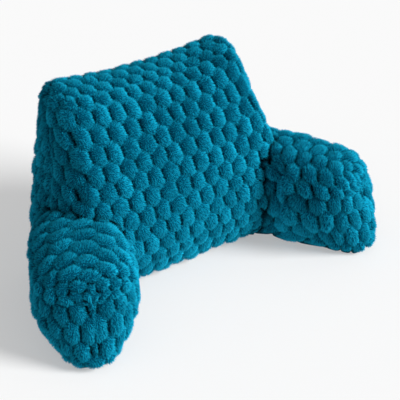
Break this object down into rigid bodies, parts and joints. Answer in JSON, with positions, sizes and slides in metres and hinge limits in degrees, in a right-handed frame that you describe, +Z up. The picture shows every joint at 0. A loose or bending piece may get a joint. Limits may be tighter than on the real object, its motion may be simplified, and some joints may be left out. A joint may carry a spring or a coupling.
{
  "type": "cuddle cushion",
  "caption": "Filled reading cushion with a leaning backrest and two splayed arms, covered in tufted plush cloth; stands on a floor, bed or sofa.",
  "frame": {"origin": "on the floor, in the middle of the bounding box", "axes": "+X to the right as one faces the front of the cushion, along its longest extent; +Y to the back; +Z up"},
  "size_m": [0.8068, 0.4018, 0.4099],
  "materials": {
    "plush_backrest": "soft tufted pile",
    "plush_arms": "soft tufted pile"
  },
  "bodies": {
    "root": {"backrest": "plush_backrest", "arm_left": "plush_arms", "arm_right": "plush_arms"}
  },
  "joints": []
}
